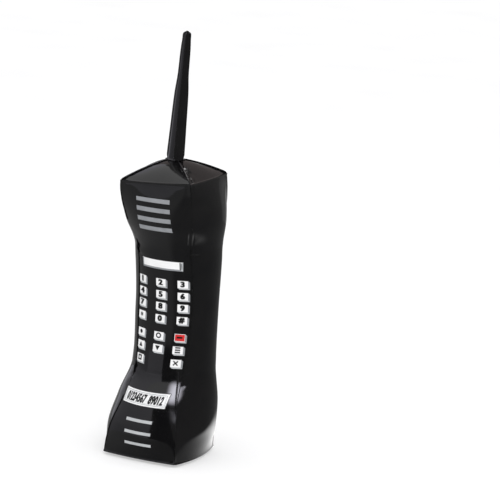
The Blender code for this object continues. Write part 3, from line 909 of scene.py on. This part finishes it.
def print_label():
    left, right, low, high = LABEL
    foot_right = right - LABEL_SKEW
    draw("outlines", [
        (left - OUTLINE, low - OUTLINE), (foot_right + OUTLINE, low - OUTLINE),
        (right + OUTLINE, high + OUTLINE), (left - OUTLINE, high + OUTLINE)])
    draw("white", [(left, low), (foot_right, low), (right, high), (left, high)])
    for inset, thick in LABEL_BORDERS:
        l, r, b, t = left + inset, right - inset - LABEL_SKEW / 2, low + inset, high - inset
        for strip in (block(l, r, t - thick, t), block(l, r, b, b + thick),
                      block(l, l + thick, b + thick, t - thick),
                      block(r - thick, r, b + thick, t - thick)):
            draw("border_lines", strip)
    for k, digit in enumerate(LABEL_DIGITS):
        if digit != " ":
            place = (left + LABEL_START + LABEL_PITCH * k, (low + high) / 2)
            draw_glyph(digit, place, LABEL_HEIGHT, *LABEL_STROKE)


def build_prints(front, inks):
    for z in EARPIECE_BARS:
        print_bar("grey", -EARPIECE_HALF, EARPIECE_HALF - EARPIECE_SHORT, z, EARPIECE_THICK)
    print_display()
    for z, signs in zip(KEY_ROWS, KEYS):
        column = KEY_COLUMN * panel_half_length(z - BASE_SEAM / MM)
        for side, sign in zip((-1, 0, 1), signs):
            if sign is not None:
                shift = KEY_MIDDLE_SHIFT if side == 0 else 0
                print_key(side, sign, column * side + shift, z)
    print_label()
    for x, z in MOUTH_BARS:
        print_bar("pale_grey", x - MOUTH_HALF, x + MOUTH_HALF, z, MOUTH_THICK)
    for name, (lift, ink) in INK_LAYERS.items():
        print_object(f"print_{name}", drawings[name], front, lift, inks[ink])


# ---------------- valve
def dress_valve():
    vinyl = valve_material()
    for name in ("valve_flange", "valve_stem", "valve_plug", "check_flap"):
        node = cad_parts[name]
        node.data.materials.clear()
        node.data.materials.append(vinyl)


# ---------------- camera, floor and light
STUDIO_RADIUS = 4.0
STUDIO_MIDDLE = 0.35
KEY_PANEL_RADIUS = STUDIO_RADIUS * 0.9
ROOM_LIGHT = 1.0  # what lights the floor and the inks
ROOM_SHINE = 0.15  # what the glossy film reflects of the room
FLOOR_REACH = 40
FLOOR_DROP = -0.5 * MM
FLOOR_GLOW = 0.45
TABLE_REACH = 2.0  # the table that only reflections see
TABLE_DROP = -0.6 * MM
TABLE_FAR = 0.15  # its glow far off, at the left and, on top of that, in its pool
TABLE_LEFT = 0.32
TABLE_NEAR = 3.0
TABLE_SLANT = 0.14  # how far the line between far and left leans
TABLE_LINE = (0.03, -0.12)  # where that change starts and ends
TABLE_POOL = (0.17, 0.16, 0)
TABLE_POOL_RADIUS = 0.36
TABLE_POOL_FALL = 3.0
SHADE = (0.93, 0.92, 1.0)  # the slight tint of the reflectors on the left
CAMERA_TURN = (24.78, 11.61, 3.62)  # round to the right, up, and roll, in degrees
CAMERA_DISTANCE = 4.111
CAMERA_AIM = 0.380  # height over the base seam that it looks at
CAMERA_SHIFT = (0.1406, -0.0083)  # how far it is moved right and up from there
CAMERA_SENSOR = 36
CAMERA_LENS = 4.6695  # focal length, in sensor widths
KEY_LIGHT_PLACE = (1.5, -1.6, 2.3)
KEY_LIGHT_SIZE = (1.2, 1.2)
KEY_LIGHT_POWER = 16


def build_camera():
    azimuth, elevation, roll = (math.radians(a) for a in CAMERA_TURN)
    back = Vector((math.sin(azimuth) * math.cos(elevation),
                   -math.cos(azimuth) * math.cos(elevation), math.sin(elevation)))
    right = Vector((math.cos(azimuth), math.sin(azimuth), 0))
    up = right.cross(-back)
    aim = Vector((0, 0, CAMERA_AIM + BASE_SEAM))
    place = aim + back * CAMERA_DISTANCE + right * CAMERA_SHIFT[0] + up * CAMERA_SHIFT[1]
    turned_right = right * math.cos(roll) + up * math.sin(roll)
    turned_up = up * math.cos(roll) - right * math.sin(roll)
    data = bpy.data.cameras.new("camera")
    data.sensor_width = CAMERA_SENSOR
    data.lens = CAMERA_LENS * CAMERA_SENSOR
    data.clip_end = 50
    camera = new_object("camera", data)
    axes = (turned_right, turned_up, back, place)
    camera.matrix_world = Matrix([[axis[i] for axis in axes] for i in range(3)] + [[0, 0, 0, 1]])
    bpy.context.scene.camera = camera


def reflected(made):
    """Makes an object of the studio show in reflections alone."""
    made.visible_camera = False
    made.visible_diffuse = False
    made.visible_shadow = False
    made.visible_transmission = False


def glow_material(name, strength, colour=(1, 1, 1)):
    made = bpy.data.materials.new(name)
    made.use_nodes = True
    made.cycles.emission_sampling = "NONE"
    tree = made.node_tree
    tree.nodes.remove(tree.nodes["Principled BSDF"])
    glow = tree.nodes.new("ShaderNodeEmission")
    set_inputs(glow, {"Color": (*colour, 1), "Strength": strength})
    tree.links.new(glow.outputs["Emission"], tree.nodes["Material Output"].inputs["Surface"])
    return made, tree, glow


def studio_panel(name, azimuths, elevations, strengths, colour=(1, 1, 1),
                 distance=STUDIO_RADIUS, soft=False):
    """A reflector or a black flag round the object, part of a sphere. Azimuth 0 is the front.

    Its strength goes from the first value at the bottom to the second at the top. A soft one
    also fades from its middle to nothing at its edge.
    """
    across = np.radians(np.linspace(*azimuths, 33))
    rise = np.radians(np.linspace(*elevations, 33))
    points = [(distance * math.cos(e) * math.sin(a), -distance * math.cos(e) * math.cos(a),
               STUDIO_MIDDLE + distance * math.sin(e)) for e in rise for a in across]
    count = len(across)
    faces = [(r * count + c, r * count + c + 1, (r + 1) * count + c + 1, (r + 1) * count + c)
             for r in range(count - 1) for c in range(count - 1)]
    mesh = bpy.data.meshes.new(name)
    mesh.from_pydata(points, [], faces)
    level = np.repeat(np.linspace(*strengths, count), count).reshape(count, count)
    if soft:
        place = np.linspace(-1, 1, count)
        level = level * np.clip(1 - place[None, :]**2 - place[:, None]**2, 0, 1) ** 1.7
    mesh.attributes.new("level", "FLOAT", "POINT").data.foreach_set("value", level.ravel())
    made, tree, glow = glow_material(name, 1.0, colour)
    attribute = tree.nodes.new("ShaderNodeAttribute")
    attribute.attribute_name = "level"
    tree.links.new(attribute.outputs["Fac"], glow.inputs["Strength"])
    if soft:
        clear = tree.nodes.new("ShaderNodeBsdfTransparent")
        both = tree.nodes.new("ShaderNodeAddShader")
        tree.links.new(glow.outputs["Emission"], both.inputs[0])
        tree.links.new(clear.outputs["BSDF"], both.inputs[1])
        tree.links.new(both.outputs["Shader"], tree.nodes["Material Output"].inputs["Surface"])
    mesh.materials.append(made)
    reflected(new_object(name, mesh))


def plane(name, reach, height):
    mesh = bpy.data.meshes.new(name)
    corners = [(x, z, 0) for x, z in block(-reach, reach, -reach, reach)]
    mesh.from_pydata(corners, [], [(0, 1, 2, 3)])
    made = new_object(name, mesh)
    made.location.z = height
    return made


def math_node(tree, operation, *values):
    """The output of a maths node. Each value is a number or another node's output."""
    node = tree.nodes.new("ShaderNodeMath")
    node.operation = operation
    for socket, value in zip(node.inputs, values):
        if isinstance(value, float):
            socket.default_value = value
        else:
            tree.links.new(value, socket)
    return node.outputs["Value"]


def range_node(tree, source, *ends):
    """The output of a smooth step between two values: from, from, to, to."""
    node = tree.nodes.new("ShaderNodeMapRange")
    node.interpolation_type = "SMOOTHSTEP"
    set_inputs(node, dict(zip(("From Min", "From Max", "To Min", "To Max"), ends)))
    tree.links.new(source, node.inputs["Value"])
    return node.outputs["Result"]


def build_floor():
    floor = plane("floor", FLOOR_REACH, FLOOR_DROP)
    made, tree, shader = new_material("floor", (0.9, 0.9, 0.9), 0.8)
    set_inputs(shader, {"Specular IOR Level": 0.1, "Emission Color": (1, 1, 1, 1),
                        "Emission Strength": FLOOR_GLOW})
    ramp_node(tree, noise_node(tree, 3, 3), shader.inputs["Base Color"], 0.3, 0.7,
              (0.56,) * 3, (0.60,) * 3)
    made.cycles.emission_sampling = "NONE"
    floor.data.materials.append(made)
    floor.visible_glossy = False

    # The table glows a little more towards its left, and much more in a pool near the object.
    table = plane("table", TABLE_REACH, TABLE_DROP)
    made, tree, glow = glow_material("table", TABLE_FAR)
    place = tree.nodes.new("ShaderNodeTexCoord").outputs["Object"]
    axes = tree.nodes.new("ShaderNodeSeparateXYZ")
    tree.links.new(place, axes.inputs["Vector"])
    lean = math_node(tree, "MULTIPLY_ADD", axes.outputs["Y"], TABLE_SLANT, axes.outputs["X"])
    left = range_node(tree, lean, *TABLE_LINE, TABLE_FAR, TABLE_LEFT)
    length = tree.nodes.new("ShaderNodeVectorMath")
    length.operation = "DISTANCE"
    set_inputs(length, {1: TABLE_POOL})
    tree.links.new(place, length.inputs[0])
    near = range_node(tree, length.outputs["Value"], TABLE_POOL_RADIUS, 0.0, 0, 1)
    fade = math_node(tree, "POWER", near, TABLE_POOL_FALL)
    shine = math_node(tree, "MULTIPLY", fade, TABLE_NEAR)
    total = math_node(tree, "ADD", left, shine)
    tree.links.new(total, glow.inputs["Strength"])
    table.data.materials.append(made)
    reflected(table)


def build_world():
    world = bpy.data.worlds.new("studio")
    bpy.context.scene.world = world
    world.use_nodes = True
    tree = world.node_tree
    light = tree.nodes["Background"]
    set_inputs(light, {"Color": (0.99, 0.99, 1.0, 1), "Strength": ROOM_LIGHT})
    dim = tree.nodes.new("ShaderNodeBackground")
    set_inputs(dim, {"Color": (1.0, 0.985, 0.97, 1), "Strength": ROOM_SHINE})
    path = tree.nodes.new("ShaderNodeLightPath")
    both = tree.nodes.new("ShaderNodeMixShader")
    tree.links.new(path.outputs["Is Glossy Ray"], both.inputs["Fac"])
    tree.links.new(light.outputs["Background"], both.inputs[1])
    tree.links.new(dim.outputs["Background"], both.inputs[2])
    tree.links.new(both.outputs["Shader"], tree.nodes["World Output"].inputs["Surface"])


def build_key_light():
    data = bpy.data.lights.new("key", "AREA")
    data.shape = "RECTANGLE"
    data.size, data.size_y = KEY_LIGHT_SIZE
    data.energy = KEY_LIGHT_POWER
    made = new_object("key", data)
    made.location = KEY_LIGHT_PLACE
    aim = Vector((0, 0, STUDIO_MIDDLE)) - made.location
    made.rotation_euler = aim.to_track_quat("-Z", "Y").to_euler()
    made.visible_camera = False
    made.visible_glossy = False


def build_studio():
    bpy.context.scene.view_settings.view_transform = "Standard"
    build_floor()
    build_world()
    build_key_light()
    studio_panel("overhead_panel", (-135, 80), (44, 89), (0.85, 1.2))
    studio_panel("far_left_panel_low", (-138, -98), (-14, 8), (1.2, 0.6), SHADE)
    studio_panel("left_panel_low", (-98, -50), (-14, 8), (0.36, 0.44), SHADE)
    studio_panel("front_left_panel_low", (-50, -8), (-14, 8), (0.66, 0.58), SHADE)
    studio_panel("left_panel_high", (-138, -8), (8, 44), (0.48, 0.88), SHADE)
    studio_panel("right_back_strip", (160, 174), (-12, 10), (0.24, 0.24))
    studio_panel("back_panel_low", (180, 225), (-12, 12), (0.35, 0.5))
    studio_panel("hip_strip", (190, 206), (47, 54), (4.5, 4.5))
    studio_panel("front_flag", (-8, 31), (-6, 41), (0.02, 0.02))
    studio_panel("back_panel_high", (150, 225), (14, 44), (0.25, 0.32), (1.0, 0.88, 0.86))
    studio_panel("key_panel", (12, 69), (34, 68), (15, 15), (0.90, 0.89, 1.0),
                 KEY_PANEL_RADIUS, soft=True)


black_film = film_material()
inks = {
    "white": ink_material("white_ink", (0.80, 0.80, 0.80), (0.88, 0.88, 0.88)),
    "pale": ink_material("pale_grey_ink", (0.42, 0.435, 0.445), (0.49, 0.505, 0.515)),
    "grey": ink_material("grey_ink", (0.225, 0.235, 0.25), (0.275, 0.285, 0.30)),
    "red": ink_material("red_ink", (0.55, 0.010, 0.012), (0.68, 0.015, 0.015)),
    "black": ink_material("black_ink", (0.004, 0.004, 0.004), (0.006, 0.006, 0.006), 0.45),
}
panels, outward = build_body(black_film)
build_prints(FrontSurface(panels["front_panel"], outward["front_panel"]), inks)
dress_valve()
build_camera()
build_studio()
